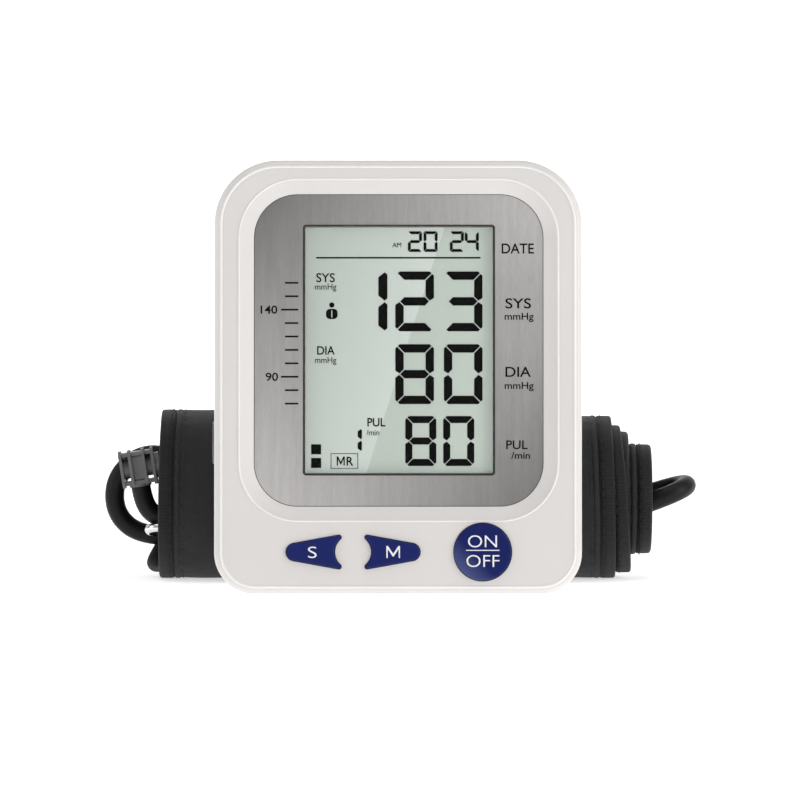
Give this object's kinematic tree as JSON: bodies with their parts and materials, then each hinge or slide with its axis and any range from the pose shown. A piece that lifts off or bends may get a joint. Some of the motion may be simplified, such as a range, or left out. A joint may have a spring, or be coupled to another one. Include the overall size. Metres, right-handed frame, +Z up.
{
  "type": "upper arm blood pressure monitor",
  "caption": "Standing display unit with a large segment display, arrow and round keys, and a rolled black arm cuff with its air tube and plug behind it.",
  "frame": {"origin": "on the table, under the middle of the display unit's base", "axes": "+Z up, -Y towards the user who reads the display, +X to that user's right; the cuff's roll lies along X"},
  "size_m": [0.1845, 0.1049, 0.1299],
  "materials": {
    "housing": "satin warm-white moulded ABS",
    "panel": "brushed silver, vertical grain",
    "window": "clear polished lens",
    "lcd": "grey-green liquid crystal display",
    "inner_plastic": "moulded white plastic",
    "elastomer": "conductive elastomer",
    "board": "green solder mask",
    "component": "black moulded package",
    "steel": "plated steel",
    "valve_body": "black nylon",
    "foam": "closed-cell foam",
    "silicone": "translucent silicone",
    "key": "deep blue, satin gloss",
    "cell": "printed sleeve",
    "pad": "matt rubber",
    "cloth": "black nylon twill",
    "lining": "black loop knit",
    "tape": "black ribbed binding tape",
    "hook": "black hook tape",
    "bladder": "welded TPU film",
    "chrome": "polished wire",
    "tube": "satin black PVC",
    "plug": "mid-grey moulded plastic"
  },
  "bodies": {
    "monitor": {"front_housing": "housing", "rear_housing": "housing", "display_panel": "panel", "display_window": "window", "lcd_glass": "lcd", "lcd_frame": "inner_plastic", "zebra_connectors": "elastomer", "main_board": "board", "board_screws": "steel", "tact_switches": "component", "controller_chips": "component", "pressure_sensor": "inner_plastic", "buzzer": "component", "pump_motor": "steel", "pump_head": "valve_body", "motor_cushion": "foam", "release_valve": "valve_body", "air_manifold": "inner_plastic", "pump_hose": "silicone", "valve_hose": "silicone", "socket_hose": "silicone", "air_socket": "inner_plastic", "power_jack": "component", "battery_cells": "cell", "contact_plates": "steel", "contact_springs": "steel", "housing_screws": "steel", "rubber_feet": "pad"},
    "set_button": {"set_button": "key"},
    "memory_button": {"memory_button": "key"},
    "power_button": {"power_button": "key"},
    "battery_door": {"battery_door": "housing"},
    "cuff": {"cuff_cover": "cloth", "cuff_lining": "lining", "hook_patch": "hook", "cuff_bladder": "bladder", "cuff_binding_left": "tape", "cuff_binding_right": "tape", "d_ring": "chrome", "ring_loop": "cloth", "tube_port": "tube", "air_tube": "tube", "plug_grip": "plug", "plug_nozzle": "plug", "plug_o_ring": "elastomer"}
  },
  "joints": [
    {"name": "set_button_press", "type": "slide", "parent": "monitor", "child": "set_button", "axis": [0, 0.9976, -0.0698], "range_m": [0, 0.0008], "stiffness_N_per_m": 1500, "springref_m": -0.0001},
    {"name": "memory_button_press", "type": "slide", "parent": "monitor", "child": "memory_button", "axis": [0, 0.9976, -0.0698], "range_m": [0, 0.0008], "stiffness_N_per_m": 1500, "springref_m": -0.0001},
    {"name": "power_button_press", "type": "slide", "parent": "monitor", "child": "power_button", "axis": [0, 0.9976, -0.0698], "range_m": [0, 0.0008], "stiffness_N_per_m": 1500, "springref_m": -0.0001},
    {"name": "battery_door_slide", "type": "slide", "parent": "monitor", "child": "battery_door", "axis": [0, -0.1149, 0.9934], "range_m": [0, 0.0065]},
    {"name": "cuff_carry", "type": "slide", "parent": "monitor", "child": "cuff", "axis": [0, 1, 0], "range_m": [0, 0.06]}
  ]
}
